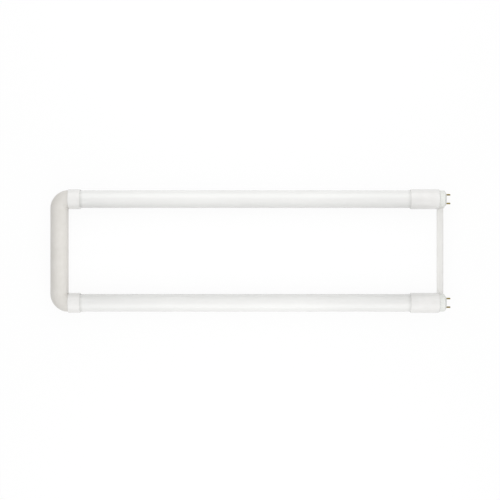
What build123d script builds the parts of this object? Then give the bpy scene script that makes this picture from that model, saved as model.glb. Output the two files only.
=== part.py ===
from build123d import *
from math import sqrt
import os

# A straight-legged U lamp: two tubes side by side, joined at one end by a hollow moulded bend and
# held apart at the other by a brace, with a two-pin cap on each leg.
# All sizes are millimetres. X runs along the legs from the bend to the pins, Y from leg b to leg a,
# Z up from the surface that the lamp lies on. The origin is the centre of its footprint.

# The whole lamp
leg_spacing = 152.4            # between the axes of the two legs
bend_to_base_length = 581.0    # from the outer edge of the bend to the faces of the end caps
collar_wall = 1.35             # of all four collars, where it is thinnest
fit_gap = 0.1                  # radial room in a pushed-on or dropped-in fit
end_gap = 0.2                  # room left at the bottom of a socket
weld_depth = 0.3               # how far a rib or lug runs into the wall that it grows from

# Tubes
tube_diameter = 26.0
tube_wall = 1.0
track_side = 1.4               # room for the track's sides between the light board and the bore
track_ledge_width = 1.6        # how far a ledge reaches under the edge of the light board
track_lip_width = 0.8          # how far a lip reaches over it
track_thickness = 0.8          # of the ledges and the lips

# Light boards and their light-emitting diodes
board_width = 13.0
board_thickness = 1.0
board_end_inset = 3.0          # from the tube's end at the bend to the end of the board
diode_pitch = 10.0
diode_length = 3.5
diode_width = 2.8
diode_height = 0.7

# Bend
bend_step = 0.5                # how much thicker the bend is than a tube
bend_wall = 1.8
bend_inner_radius = 0.4        # of the sharp inside corner of each elbow
tongue_thickness = 0.8
tongue_height = 1.2
seam_groove = 0.4              # side of the notch that runs along the outside of the seam
rib_count = 5
rib_pitch = 25.0
rib_thickness = 1.2
rib_height = 1.8
snap_count = 4
snap_width = 6.0
snap_arm_thickness = 1.25
snap_arm_depth = 4.2           # how far an arm hangs below the seam
snap_root_height = 4.0
snap_barb_reach = 0.6
catch_reach = 1.65
catch_top_depth = 0.7          # from the seam down to the top of a catch
catch_height = 1.7
catch_slope = 0.8

# Bend collars
bend_collar_length = 17.1
bend_collar_tube_depth = 8.0
bend_collar_bevel = 0.5
shoulder_thickness = 1.2       # of the ring inside each collar that the ends butt against

# Base collars
base_collar_length = 42.3
base_collar_tube_depth = 20.0
base_collar_rear_bevel = 0.7
base_collar_front_round = 1.2

# End caps
cap_step = 0.2                 # how much thinner an end cap is than a tube
cap_wall = 1.5
cap_visible_length = 10.1
cap_cone_length = 2.8
cap_cone_depth = 4.0           # radial
cap_front_wall = 2.0
boss_diameter = 5.0
boss_height = 2.0

# Contact pins
pin_diameter = 2.35            # outside the cap
pin_shank_diameter = 2.7       # inside the cap
pin_spacing = 12.7
pin_gap = 0.05                 # radial, round the shank in its hole
pin_length = 6.6               # outside the cap
pin_tip_bevel = 0.6
pin_bore_diameter = 1.5        # of the blind bore that the lead is crimped in
pin_bore_depth = 5.0
pin_flange_diameter = 3.6
pin_flange_thickness = 0.6
pin_tail_length = 2.0

# Brace
brace_width = 9.0
brace_thickness = 6.0
brace_round = 1.4
brace_setback = 4.1            # from the faces of the end caps to the front edge of the brace
peg_diameter = 3.0

# Power boards in the two bases
power_board_side = 1.2         # room for the rails' sides between a power board and the cap's bore
power_board_thickness = 1.6
power_board_setback = 9.5      # from the face of the end cap to the front edge of the board
driver_board_length = 42.0
shunt_board_length = 21.0
rail_thickness = 1.2           # of the rails inside the end cap that hold the board
rail_reach = 0.9               # how far a rail reaches over the board

# Wires
wire_diameter = 1.3
wire_gap = 0.05                # under a wire that lies on a board or in a saddle
wire_pitch = 3.0
wire_pad_length = 6.0          # length of wire that lies on a light board
wire_corner_cut = 8.0          # from a corner of a link wire's run to where its diagonal starts
pin_lead_lap = 5.0             # length of a pin's lead that lies on a power board
pin_lead_crimp = 1.0           # length of it inside the pin

# Components on the power boards
header_pin_side = 0.64
header_pitch = 2.54
header_block_height = 2.5
can_diameter = 8.0
can_length = 12.0
can_crimp_depth = 0.4
core_length = 10.0
core_width = 12.0
core_height = 10.0
core_bar = 2.6
coil_diameter = 9.0
drum_diameter = 8.0
drum_height = 7.5
drum_flange = 1.0
drum_waist = 1.1
chip_size = (4.9, 2.4, 1.4)    # length, width and height of the moulded body
chip_lead_pitch = 1.27
rectifier_size = (4.7, 3.9, 2.5)
rectifier_lead_pitch = 2.54
flat_lead_width = 0.5
flat_lead_reach = 1.0
flat_lead_thickness = 0.25
body_lift = 0.15               # of a moulded body above its board
fuse_diameter = 3.2
fuse_length = 9.0
fuse_cap_length = 2.0
fuse_cap_step = 0.25
disc_diameter = 7.0
disc_thickness = 3.6
disc_lead_side = 0.6
disc_lead_spacing = 5.0
disc_lift = 1.5

# Stations along X, and heights
overall_length = bend_to_base_length + pin_length
bend_diameter = tube_diameter + bend_step
cap_diameter = tube_diameter - cap_step
collar_diameter = max(tube_diameter, bend_diameter) + 2 * (fit_gap + collar_wall)
axis_z = collar_diameter / 2
bend_edge_x = -overall_length / 2
cap_face_x = bend_edge_x + bend_to_base_length
cross_tube_x = bend_edge_x + bend_diameter / 2
elbow_radius = bend_diameter / 2 + bend_inner_radius
bend_collar_x = cross_tube_x + elbow_radius
bend_collar_end_x = bend_collar_x + bend_collar_length
bend_shoulder_end_x = bend_collar_end_x - bend_collar_tube_depth
bend_shoulder_x = bend_shoulder_end_x - shoulder_thickness
spigot_end_x = bend_shoulder_x - end_gap
base_collar_end_x = cap_face_x - cap_visible_length
base_collar_x = base_collar_end_x - base_collar_length
base_shoulder_x = base_collar_x + base_collar_tube_depth
base_shoulder_end_x = base_shoulder_x + shoulder_thickness
cap_skirt_x = base_shoulder_end_x + end_gap
tube_start_x = bend_shoulder_end_x + end_gap
tube_end_x = base_shoulder_x - end_gap
brace_front_x = cap_face_x - brace_setback
brace_centre_x = brace_front_x - brace_width / 2
peg_x = (base_collar_end_x + brace_front_x) / 2
power_board_front_x = cap_face_x - power_board_setback
driver_board_rear_x = power_board_front_x - driver_board_length
shunt_board_rear_x = power_board_front_x - shunt_board_length
header_x = driver_board_rear_x + header_pitch
board_start_x = tube_start_x + board_end_inset
board_end_x = header_x + header_pitch
tube_bore = tube_diameter - 2 * tube_wall
board_bottom_depth = sqrt((tube_bore / 2) ** 2 - (board_width / 2 + track_side) ** 2)
board_depth = board_bottom_depth - board_thickness
board_top_z = axis_z - board_depth
board_bottom_z = axis_z - board_bottom_depth
power_board_depth = wire_diameter / 2 + wire_gap
power_board_top_z = axis_z - power_board_depth
power_board_bottom_z = power_board_top_z - power_board_thickness
cap_bore_r = cap_diameter / 2 - cap_wall
power_board_edge = sqrt(cap_bore_r ** 2 - (power_board_depth + power_board_thickness) ** 2)
power_board_width = 2 * (power_board_edge - power_board_side)
wire_offsets = [wire_pitch / 2, -wire_pitch / 2]
legs = {"a": 1, "b": -1}       # which side of the lamp each leg lies on


def leg_y(side):
    """Y of a leg's axis."""
    return side * leg_spacing / 2


def section_plane(side, x):
    """Plane across a leg at x: its own x runs along Y, its own y along Z."""
    return Plane(origin=(x, leg_y(side), axis_z), x_dir=(0, 1, 0), z_dir=(1, 0, 0))


def profile_plane(y, z=axis_z):
    """Upright plane along the lamp at y: its own x is X, its own y is the height above z."""
    return Plane(origin=(0, y, z), x_dir=(1, 0, 0), z_dir=(0, -1, 0))


def leg_axis(side):
    """A leg's own axis."""
    return Axis((0, leg_y(side), axis_z), (1, 0, 0))


def keep(builder, name):
    """Label a finished piece and write it."""
    builder.part.label = name
    export_step(builder.part, f"parts/{name}.step")


os.makedirs("parts", exist_ok=True)

# Tubes: extruded opal plastic, with a track along the floor of the bore that holds the light board
track_bottom = -board_bottom_depth - wire_gap - track_thickness
track_top = -board_depth + fit_gap + track_thickness
slot_width = board_width + 2 * fit_gap
slot_height = board_thickness + wire_gap + fit_gap
slot_centre = -board_depth + fit_gap - slot_height / 2

for leg, side in legs.items():
    with BuildPart() as tube:
        with BuildSketch(section_plane(side, tube_start_x)) as tube_section:
            Circle(tube_diameter / 2)
            Circle(tube_bore / 2, mode=Mode.SUBTRACT)
            with BuildSketch(mode=Mode.PRIVATE) as track:
                with Locations((0, (track_bottom + track_top) / 2)):
                    Rectangle(tube_bore, track_top - track_bottom)
                Circle(tube_bore / 2 + tube_wall / 2, mode=Mode.INTERSECT)
                with Locations((0, slot_centre)):
                    Rectangle(slot_width, slot_height, mode=Mode.SUBTRACT)
                with Locations((0, track_top)):
                    Rectangle(board_width - 2 * track_lip_width, 2 * track_thickness, mode=Mode.SUBTRACT)
                with Locations((0, track_bottom)):
                    Rectangle(board_width - 2 * track_ledge_width, 2 * track_thickness, mode=Mode.SUBTRACT)
            add(track.sketch)
        extrude(amount=tube_end_x - tube_start_x)
    keep(tube, f"tube_{leg}")


# Light boards: one metal-backed strip in each tube's track
for leg, side in legs.items():
    board_centre = ((board_start_x + board_end_x) / 2, leg_y(side), board_bottom_z)
    with BuildPart() as light_board:
        with BuildSketch(Plane(origin=board_centre)) as board_outline:
            Rectangle(board_end_x - board_start_x, board_width)
        extrude(amount=board_thickness)
    keep(light_board, f"light_board_{leg}")


# Diodes: flat packages in one row on each board, as many as fit between the collars
diode_row_x = (bend_collar_end_x + base_collar_x) / 2
diode_count = int((base_collar_x - bend_collar_end_x) / diode_pitch)

for leg, side in legs.items():
    with BuildPart() as diodes:
        with BuildSketch(Plane(origin=(diode_row_x, leg_y(side), board_top_z))) as packages:
            with GridLocations(diode_pitch, diode_width, diode_count, 1):
                Rectangle(diode_length, diode_width)
        extrude(amount=diode_height)
    keep(diodes, f"diodes_{leg}")


# Bend: a hollow U moulded as a front and a back shell that meet in the plane of the two legs.
# The back shell's tongue stands inside the front shell's rim, snap arms pull the shells together,
# and ribs stiffen them. The back shell's ribs are also saddles for the wires between the legs.
bend_outer_r = bend_diameter / 2
bend_bore_r = bend_outer_r - bend_wall
half_section = 2 * bend_outer_r
rim_width = tongue_thickness + fit_gap
rim_height = tongue_height + end_gap
wire_floor = -board_depth + wire_gap
saddle_top = wire_floor + wire_diameter
rib_stations = [rib_pitch * (i - (rib_count - 1) / 2) for i in range(rib_count)]
snap_stations = [rib_pitch * (i - (snap_count - 1) / 2) for i in range(snap_count)]
catch_face = bend_bore_r - catch_reach
catch_bottom = -catch_top_depth - catch_height
arm_outer = catch_face - fit_gap
arm_inner = arm_outer - snap_arm_thickness
root_x = bend_bore_r + weld_depth


def bend_route():
    """Centre line of the bend, from the end of leg a's spigot to the end of leg b's."""
    FilletPolyline(
        (spigot_end_x, leg_y(1), axis_z),
        (cross_tube_x, leg_y(1), axis_z),
        (cross_tube_x, leg_y(-1), axis_z),
        (spigot_end_x, leg_y(-1), axis_z),
        radius=elbow_radius,
    )


def rib_plane(y):
    """Plane across the cross tube at y: its own x is X, its own y is Z."""
    return Plane(origin=(cross_tube_x, y, axis_z), x_dir=(1, 0, 0), z_dir=(0, -1, 0))


spigot_plane = Plane(origin=(spigot_end_x, leg_y(1), axis_z), x_dir=(0, -1, 0), z_dir=(-1, 0, 0))

with BuildPart() as bend_front_shell:
    with BuildLine():
        bend_route()
    with BuildSketch(spigot_plane) as front_section:
        Circle(bend_outer_r)
        Circle(bend_bore_r, mode=Mode.SUBTRACT)
        with Locations((0, half_section / 2)):
            Rectangle(half_section, half_section, mode=Mode.INTERSECT)
        Rectangle(2 * (bend_bore_r + rim_width), 2 * rim_height, mode=Mode.SUBTRACT)
        with Locations((bend_outer_r, 0), (-bend_outer_r, 0)):
            Rectangle(seam_groove, seam_groove, rotation=45, mode=Mode.SUBTRACT)
    sweep()
    for station in rib_stations:
        with BuildSketch(rib_plane(station)) as front_rib:
            Circle(bend_bore_r + weld_depth)
            Circle(bend_bore_r - rib_height, mode=Mode.SUBTRACT)
            with Locations((0, half_section / 2 + rim_height)):
                Rectangle(half_section, half_section, mode=Mode.INTERSECT)
        extrude(amount=rib_thickness / 2, both=True)
    for station in snap_stations:
        with BuildSketch(rib_plane(station)) as snap_arms:
            with BuildLine() as snap_outline:
                Polyline(
                    (arm_inner, snap_root_height),
                    (root_x, snap_root_height),
                    (root_x, rim_height),
                    (arm_outer, rim_height),
                    (arm_outer, catch_bottom - fit_gap),
                    (arm_outer + snap_barb_reach, catch_bottom - fit_gap),
                    (arm_outer, -snap_arm_depth),
                    (arm_inner, -snap_arm_depth),
                    close=True,
                )
            make_face()
            mirror(about=Plane.YZ)
        extrude(amount=snap_width / 2, both=True)
keep(bend_front_shell, "bend_front_shell")

with BuildPart() as bend_back_shell:
    with BuildLine():
        bend_route()
    with BuildSketch(spigot_plane) as back_section:
        Circle(bend_outer_r)
        with Locations((0, -half_section / 2)):
            Rectangle(half_section, half_section, mode=Mode.INTERSECT)
        with Locations((0, tongue_height / 2)):
            Rectangle(2 * (bend_bore_r + tongue_thickness), tongue_height)
        with Locations((bend_outer_r, 0), (-bend_outer_r, 0)):
            Rectangle(seam_groove, seam_groove, rotation=45, mode=Mode.SUBTRACT)
        Circle(bend_bore_r, mode=Mode.SUBTRACT)
    sweep()
    for station in rib_stations:
        with BuildSketch(rib_plane(station)) as back_rib:
            Circle(bend_bore_r + weld_depth)
            Circle(bend_bore_r - rib_height, mode=Mode.SUBTRACT)
            with BuildSketch(mode=Mode.PRIVATE) as saddle:
                Circle(bend_bore_r + weld_depth)
                with Locations((0, saddle_top - half_section / 2)):
                    Rectangle(half_section, half_section, mode=Mode.INTERSECT)
            add(saddle.sketch)
            with Locations((0, -half_section / 2)):
                Rectangle(half_section, half_section, mode=Mode.INTERSECT)
            for offset in wire_offsets:
                with Locations((offset, wire_floor - wire_gap + wire_diameter)):
                    Rectangle(wire_diameter + 2 * fit_gap, 2 * wire_diameter, mode=Mode.SUBTRACT)
        extrude(amount=rib_thickness / 2, both=True)
    for station in snap_stations:
        with BuildSketch(rib_plane(station)) as catches:
            with BuildLine() as catch_outline:
                Polyline(
                    (catch_face, catch_bottom),
                    (root_x, catch_bottom),
                    (root_x, -catch_top_depth),
                    (catch_face + catch_slope, -catch_top_depth),
                    (catch_face, -catch_top_depth - catch_slope),
                    close=True,
                )
            make_face()
            mirror(about=Plane.YZ)
        extrude(amount=snap_width / 2, both=True)
keep(bend_back_shell, "bend_back_shell")


# Collars: moulded sleeves. A ring inside each keeps the two ends that are pushed in apart.
def collar_outline(rear_x, front_x, ring_x, ring_end_x, rear_bore, front_bore):
    """Half section of a collar, as heights above the leg's axis."""
    Polyline(
        (rear_x, rear_bore),
        (rear_x, collar_diameter / 2),
        (front_x, collar_diameter / 2),
        (front_x, front_bore),
        (ring_end_x, front_bore),
        (ring_end_x, tube_bore / 2),
        (ring_x, tube_bore / 2),
        (ring_x, rear_bore),
        close=True,
    )


tube_socket_r = tube_diameter / 2 + fit_gap
bend_socket_r = bend_diameter / 2 + fit_gap
cap_socket_r = cap_diameter / 2 + fit_gap

for leg, side in legs.items():
    with BuildPart() as bend_collar:
        with BuildSketch(profile_plane(leg_y(side))) as bend_collar_section:
            with BuildLine():
                collar_outline(
                    bend_collar_x, bend_collar_end_x,
                    bend_shoulder_x, bend_shoulder_end_x,
                    bend_socket_r, tube_socket_r,
                )
            make_face()
            chamfer(bend_collar_section.vertices().group_by(Axis.Y)[-1], length=bend_collar_bevel)
        revolve(axis=leg_axis(side))
    keep(bend_collar, f"bend_collar_{leg}")

    with BuildPart() as base_collar:
        with BuildSketch(profile_plane(leg_y(side))) as base_collar_section:
            with BuildLine():
                collar_outline(
                    base_collar_x, base_collar_end_x,
                    base_shoulder_x, base_shoulder_end_x,
                    tube_socket_r, cap_socket_r,
                )
            make_face()
            rim_corners = base_collar_section.vertices().group_by(Axis.Y)[-1].sort_by(Axis.X)
            chamfer(rim_corners[0], length=base_collar_rear_bevel)
            fillet(rim_corners[-1], radius=base_collar_front_round)
        revolve(axis=leg_axis(side))
    keep(base_collar, f"base_collar_{leg}")


# End caps: cups with a coned front, rails for the power board, bosses for the two pins, and a hole
# in the side that faces the other leg for the brace's peg
cone_end_r = cap_diameter / 2 - cap_cone_depth
cap_inner_face_x = cap_face_x - cap_front_wall
inner_cone_length = (cap_cone_depth - cap_wall) * cap_cone_length / cap_cone_depth
boss_end_x = cap_inner_face_x - boss_height
rail_inner = power_board_width / 2 - rail_reach
rail_top = -power_board_depth + fit_gap + rail_thickness
rail_bottom = -power_board_depth - power_board_thickness - fit_gap - rail_thickness
pin_places = [(pin_spacing / 2, 0), (-pin_spacing / 2, 0)]

for leg, side in legs.items():
    with BuildPart() as end_cap:
        with BuildSketch(profile_plane(leg_y(side))) as cap_section:
            with BuildLine():
                Polyline(
                    (cap_skirt_x, cap_bore_r),
                    (cap_skirt_x, cap_diameter / 2),
                    (cap_face_x - cap_cone_length, cap_diameter / 2),
                    (cap_face_x, cone_end_r),
                    (cap_face_x, 0),
                    (cap_inner_face_x, 0),
                    (cap_inner_face_x, cone_end_r),
                    (cap_inner_face_x - inner_cone_length, cap_bore_r),
                    close=True,
                )
            make_face()
        revolve(axis=leg_axis(side))
        with BuildSketch(section_plane(side, cap_skirt_x)) as rails:
            with Locations((0, (rail_top + rail_bottom) / 2)):
                Rectangle(cap_diameter, rail_top - rail_bottom)
                Rectangle(2 * rail_inner, rail_top - rail_bottom, mode=Mode.SUBTRACT)
            Circle(cap_bore_r + weld_depth, mode=Mode.INTERSECT)
            with Locations((0, -power_board_depth - power_board_thickness / 2)):
                Rectangle(
                    power_board_width + 2 * fit_gap,
                    power_board_thickness + 2 * fit_gap,
                    mode=Mode.SUBTRACT,
                )
        extrude(amount=power_board_front_x - cap_skirt_x)
        with BuildSketch(section_plane(side, cap_inner_face_x)) as bosses:
            with Locations(*pin_places):
                Circle(boss_diameter / 2)
        extrude(amount=-boss_height)
        with BuildSketch(section_plane(side, cap_face_x)) as pin_holes:
            with Locations(*pin_places):
                Circle(pin_shank_diameter / 2 + pin_gap)
        extrude(amount=-(cap_front_wall + boss_height), mode=Mode.SUBTRACT)
        with BuildSketch(Plane(origin=(peg_x, leg_y(side), axis_z), z_dir=(0, -side, 0))) as peg_hole:
            Circle(peg_diameter / 2 + fit_gap)
        extrude(amount=cap_diameter / 2, mode=Mode.SUBTRACT)
    keep(end_cap, f"end_cap_{leg}")


# Contact pins: turned brass, pushed through the cap from inside up to a flange. The inner end is
# bored to take the crimped lead.
pin_flange_x = boss_end_x - pin_flange_thickness
pin_tail_x = pin_flange_x - pin_tail_length
pin_tip_x = cap_face_x + pin_length

for leg, side in legs.items():
    for position, across in {"inner": -side, "outer": side}.items():
        pin_y = leg_y(side) + across * pin_spacing / 2
        with BuildPart() as contact_pin:
            with BuildSketch(profile_plane(pin_y)) as pin_section:
                with BuildLine():
                    Polyline(
                        (pin_tail_x, pin_bore_diameter / 2),
                        (pin_tail_x, pin_shank_diameter / 2),
                        (pin_flange_x, pin_shank_diameter / 2),
                        (pin_flange_x, pin_flange_diameter / 2),
                        (boss_end_x, pin_flange_diameter / 2),
                        (boss_end_x, pin_shank_diameter / 2),
                        (cap_face_x, pin_shank_diameter / 2),
                        (cap_face_x, pin_diameter / 2),
                        (pin_tip_x - pin_tip_bevel, pin_diameter / 2),
                        (pin_tip_x, pin_diameter / 2 - pin_tip_bevel),
                        (pin_tip_x, 0),
                        (pin_tail_x + pin_bore_depth, 0),
                        (pin_tail_x + pin_bore_depth, pin_bore_diameter / 2),
                        close=True,
                    )
                make_face()
            revolve(axis=Axis((0, pin_y, axis_z), (1, 0, 0)))
        keep(contact_pin, f"contact_pin_{leg}_{position}")


# Brace: a straight moulded bar. Each end is hollowed to sit on the collar and the cap, and a round
# peg on it enters the cap.
with BuildPart() as brace:
    with BuildSketch(Plane(origin=(brace_centre_x, 0, axis_z), x_dir=(1, 0, 0), z_dir=(0, -1, 0))) as bar:
        RectangleRounded(brace_width, brace_thickness, brace_round)
    extrude(amount=leg_spacing / 2, both=True)
    for side in legs.values():
        with BuildSketch(section_plane(side, base_collar_end_x)) as cap_seat:
            Circle(cap_diameter / 2 + fit_gap)
        extrude(amount=brace_width, mode=Mode.SUBTRACT)
        with BuildSketch(section_plane(side, base_collar_end_x + fit_gap)) as collar_seat:
            Circle(collar_diameter / 2 + fit_gap)
        extrude(amount=-brace_width, mode=Mode.SUBTRACT)
        peg_start_y = leg_y(side) - side * (cap_bore_r + fit_gap)
        with BuildSketch(Plane(origin=(peg_x, peg_start_y, axis_z), z_dir=(0, -side, 0))) as peg:
            Circle(peg_diameter / 2)
        extrude(amount=cap_wall + cap_cone_length)
keep(brace, "brace")


# Power boards: the driver's board in the base of leg a, the shunt board in the base of leg b, which
# only joins that leg's two pins through a fuse
def power_board(side, rear_x):
    """A plain circuit board from rear_x to the front edge that both boards share."""
    centre = ((rear_x + power_board_front_x) / 2, leg_y(side), power_board_bottom_z)
    with BuildPart() as board:
        with BuildSketch(Plane(origin=centre)):
            Rectangle(power_board_front_x - rear_x, power_board_width)
        extrude(amount=power_board_thickness)
    return board


keep(power_board(legs["a"], driver_board_rear_x), "driver_board")
keep(power_board(legs["b"], shunt_board_rear_x), "shunt_board")


# Components of the driver: each stands on its board, placed by its distance from the board's front
# edge and from the leg's axis
transformer_place = (33.0, 0.0)
choke_place = (22.4, -4.5)
varistor_place = (24.0, 5.0)
capacitor_place = (12.0, -4.1)
chip_place = (16.5, 5.0)
rectifier_place = (10.0, 5.0)


def board_spot(place):
    """Plane on the top of the driver board."""
    from_front, across = place
    return Plane(origin=(power_board_front_x - from_front, leg_y(legs["a"]) + across, power_board_top_z))


# The transformer: a pair of facing E cores round one wound coil
with BuildPart() as transformer:
    with BuildSketch(board_spot(transformer_place)) as core:
        Rectangle(core_length, core_width)
        Rectangle(core_length - 2 * core_bar, core_width - 2 * core_bar, mode=Mode.SUBTRACT)
    extrude(amount=core_height)
    with BuildSketch(board_spot(transformer_place)) as coil:
        Circle(coil_diameter / 2)
        Rectangle(coil_diameter, core_width - core_bar, mode=Mode.INTERSECT)
    extrude(amount=core_height - core_bar / 2)
keep(transformer, "transformer")

# The choke: wire wound on a flanged drum
with BuildPart() as choke:
    with BuildSketch(board_spot(choke_place)) as drum:
        Circle(drum_diameter / 2)
    extrude(amount=drum_height)
    with BuildSketch(board_spot(choke_place).offset(drum_flange)) as waist:
        Circle(drum_diameter / 2)
        Circle(drum_diameter / 2 - drum_waist, mode=Mode.SUBTRACT)
    extrude(amount=drum_height - 2 * drum_flange, mode=Mode.SUBTRACT)
keep(choke, "choke")

# The filter capacitor: a crimped can that lies along the board
can_rear_x = power_board_front_x - capacitor_place[0] - can_length / 2
can_y = leg_y(legs["a"]) + capacitor_place[1]
can_axis_z = power_board_top_z + can_diameter / 2 + wire_gap

with BuildPart() as filter_capacitor:
    with BuildSketch(profile_plane(can_y, can_axis_z)) as can_section:
        with BuildLine():
            Polyline(
                (can_rear_x, 0),
                (can_rear_x, can_diameter / 2),
                (can_rear_x + 2 * can_crimp_depth, can_diameter / 2),
                (can_rear_x + 3 * can_crimp_depth, can_diameter / 2 - can_crimp_depth),
                (can_rear_x + 4 * can_crimp_depth, can_diameter / 2),
                (can_rear_x + can_length - can_crimp_depth, can_diameter / 2),
                (can_rear_x + can_length, can_diameter / 2 - can_crimp_depth),
                (can_rear_x + can_length, 0),
                close=True,
            )
        make_face()
    revolve(axis=Axis((0, can_y, can_axis_z), (1, 0, 0)))
keep(filter_capacitor, "filter_capacitor")


# The chip and the rectifier: moulded blocks with flat leads on both long sides
def leaded_block(place, size, leads_per_side, lead_pitch):
    """A moulded block of a length, width and height, lifted off the board on its leads."""
    length, width, height = size
    with BuildPart() as block:
        with BuildSketch(place.offset(body_lift)) as body:
            Rectangle(length, width)
        extrude(amount=height)
        with BuildSketch(place) as feet:
            with GridLocations(lead_pitch, width + flat_lead_reach, leads_per_side, 2):
                Rectangle(flat_lead_width, flat_lead_reach)
        extrude(amount=flat_lead_thickness)
        with BuildSketch(place) as risers:
            with GridLocations(lead_pitch, width + flat_lead_thickness, leads_per_side, 2):
                Rectangle(flat_lead_width, flat_lead_thickness)
        extrude(amount=height / 2)
    return block


keep(leaded_block(board_spot(chip_place), chip_size, 4, chip_lead_pitch), "control_chip")
keep(leaded_block(board_spot(rectifier_place), rectifier_size, 2, rectifier_lead_pitch), "rectifier")

# The varistor: a coated disc on two square leads
with BuildPart() as varistor:
    disc_x = power_board_front_x - varistor_place[0]
    disc_y = leg_y(legs["a"]) + varistor_place[1]
    disc_z = power_board_top_z + disc_lift + disc_diameter / 2
    with BuildSketch(Plane(origin=(disc_x, disc_y, disc_z), z_dir=(1, 0, 0))) as disc:
        Circle(disc_diameter / 2)
    extrude(amount=disc_thickness / 2, both=True)
    with BuildSketch(board_spot(varistor_place)) as disc_leads:
        with GridLocations(disc_lead_spacing, disc_lead_spacing, 1, 2):
            Rectangle(disc_lead_side, disc_lead_side)
    extrude(amount=disc_lift + disc_diameter / 2)
keep(varistor, "varistor")

# The header: two square pins in a moulded block, from the light board up to the driver board
with BuildPart() as driver_header:
    with BuildSketch(Plane(origin=(header_x, leg_y(legs["a"]), board_top_z))) as header_pins:
        with GridLocations(header_pitch, header_pitch, 1, 2):
            Rectangle(header_pin_side, header_pin_side)
    extrude(amount=power_board_bottom_z - board_top_z)
    with BuildSketch(Plane(origin=(header_x, leg_y(legs["a"]), power_board_bottom_z))) as header_block:
        Rectangle(header_pitch, 2 * header_pitch)
    extrude(amount=-header_block_height)
keep(driver_header, "driver_header")

# The fuse on the shunt board: a small cartridge with a metal cap on each end
fuse_axis_z = power_board_top_z + fuse_diameter / 2 + wire_gap
fuse_rear_x = (shunt_board_rear_x + power_board_front_x - fuse_length) / 2

with BuildPart() as fuse:
    with BuildSketch(profile_plane(leg_y(legs["b"]), fuse_axis_z)) as fuse_section:
        with BuildLine():
            Polyline(
                (fuse_rear_x, 0),
                (fuse_rear_x, fuse_diameter / 2),
                (fuse_rear_x + fuse_cap_length, fuse_diameter / 2),
                (fuse_rear_x + fuse_cap_length, fuse_diameter / 2 - fuse_cap_step),
                (fuse_rear_x + fuse_length - fuse_cap_length, fuse_diameter / 2 - fuse_cap_step),
                (fuse_rear_x + fuse_length - fuse_cap_length, fuse_diameter / 2),
                (fuse_rear_x + fuse_length, fuse_diameter / 2),
                (fuse_rear_x + fuse_length, 0),
                close=True,
            )
        make_face()
    revolve(axis=Axis((0, leg_y(legs["b"]), fuse_axis_z), (1, 0, 0)))
keep(fuse, "fuse")


# Link wires: one run each from light board to light board, side by side in the bend's saddles and
# straight across the corner of each elbow
board_wire_z = board_top_z + wire_gap + wire_diameter / 2
pad_x = board_start_x + wire_pad_length

for name, offset in zip(["link_wire_positive", "link_wire_negative"], wire_offsets):
    run_y = leg_y(legs["a"]) + offset
    run_x = cross_tube_x - offset
    with BuildPart() as link_wire:
        with BuildLine():
            Polyline(
                (pad_x, run_y, board_wire_z),
                (run_x + wire_corner_cut, run_y, board_wire_z),
                (run_x, run_y - wire_corner_cut, board_wire_z),
                (run_x, -run_y + wire_corner_cut, board_wire_z),
                (run_x + wire_corner_cut, -run_y, board_wire_z),
                (pad_x, -run_y, board_wire_z),
            )
        with BuildSketch(Plane(origin=(pad_x, run_y, board_wire_z), z_dir=(-1, 0, 0))):
            Circle(wire_diameter / 2)
        sweep(transition=Transition.RIGHT)
    keep(link_wire, name)

# Pin leads: straight from the bore of each pin onto its power board
for leg, side in legs.items():
    for position, across in {"inner": -side, "outer": side}.items():
        lead_start = (power_board_front_x - pin_lead_lap, leg_y(side) + across * pin_spacing / 2, axis_z)
        with BuildPart() as pin_lead:
            with BuildSketch(Plane(origin=lead_start, z_dir=(1, 0, 0))):
                Circle(wire_diameter / 2)
            extrude(amount=pin_tail_x + pin_lead_crimp - lead_start[0])
        keep(pin_lead, f"pin_lead_{leg}_{position}")
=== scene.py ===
import bmesh
import bpy
from math import atan2, cos, pi, radians, sin, sqrt
from mathutils import Matrix, Vector


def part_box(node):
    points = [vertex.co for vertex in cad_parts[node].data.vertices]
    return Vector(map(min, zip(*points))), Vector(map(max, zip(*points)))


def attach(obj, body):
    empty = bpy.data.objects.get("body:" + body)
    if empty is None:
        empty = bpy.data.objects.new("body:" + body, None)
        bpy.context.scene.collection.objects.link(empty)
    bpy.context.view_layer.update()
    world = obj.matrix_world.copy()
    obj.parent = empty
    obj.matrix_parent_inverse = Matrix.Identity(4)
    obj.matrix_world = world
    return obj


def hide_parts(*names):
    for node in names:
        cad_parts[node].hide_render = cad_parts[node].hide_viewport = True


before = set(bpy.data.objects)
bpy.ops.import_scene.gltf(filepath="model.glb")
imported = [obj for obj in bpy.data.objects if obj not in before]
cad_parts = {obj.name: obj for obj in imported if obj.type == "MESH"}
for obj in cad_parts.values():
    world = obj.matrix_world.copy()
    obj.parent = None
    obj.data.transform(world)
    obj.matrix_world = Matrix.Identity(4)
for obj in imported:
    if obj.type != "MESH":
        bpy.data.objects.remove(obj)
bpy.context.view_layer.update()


# Tubes
# Each leg is a straight opal polycarbonate tube, extruded in one length with a track along the floor
# of its bore. Its ends are pushed into the collars and glued.
mm = 0.001
leg_sides = {"a": 1, "b": -1}
leg_spacing = 152.4 * mm
axis_z = 14.7 * mm
tube_r = 13.0 * mm
tube_wall = 1.0 * mm
bore_r = tube_r - tube_wall
round_steps = 192
track_top = -7.13 * mm
lip_y = 5.7 * mm
slot_top = -7.93 * mm
slot_y = 6.6 * mm
slot_floor = -9.08 * mm
ledge_y = 4.9 * mm
track_floor = -9.88 * mm
open_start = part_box("bend_collar_a")[1].x
open_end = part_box("base_collar_a")[0].x
# The tubes' painted shade: how far from each collar the base colour is darkened, and by how much.
painted_shade_width = 6 * mm
painted_shade_depth = 0.45
smooth_angle = radians(35)


def linear(hex_colour):
    """An sRGB hex colour as the linear colour that a shader takes."""
    channels = [int(hex_colour[i:i + 2], 16) / 255 for i in (0, 2, 4)]
    return tuple(c / 12.92 if c <= 0.04045 else ((c + 0.055) / 1.055) ** 2.4 for c in channels) + (1.0,)


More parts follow.
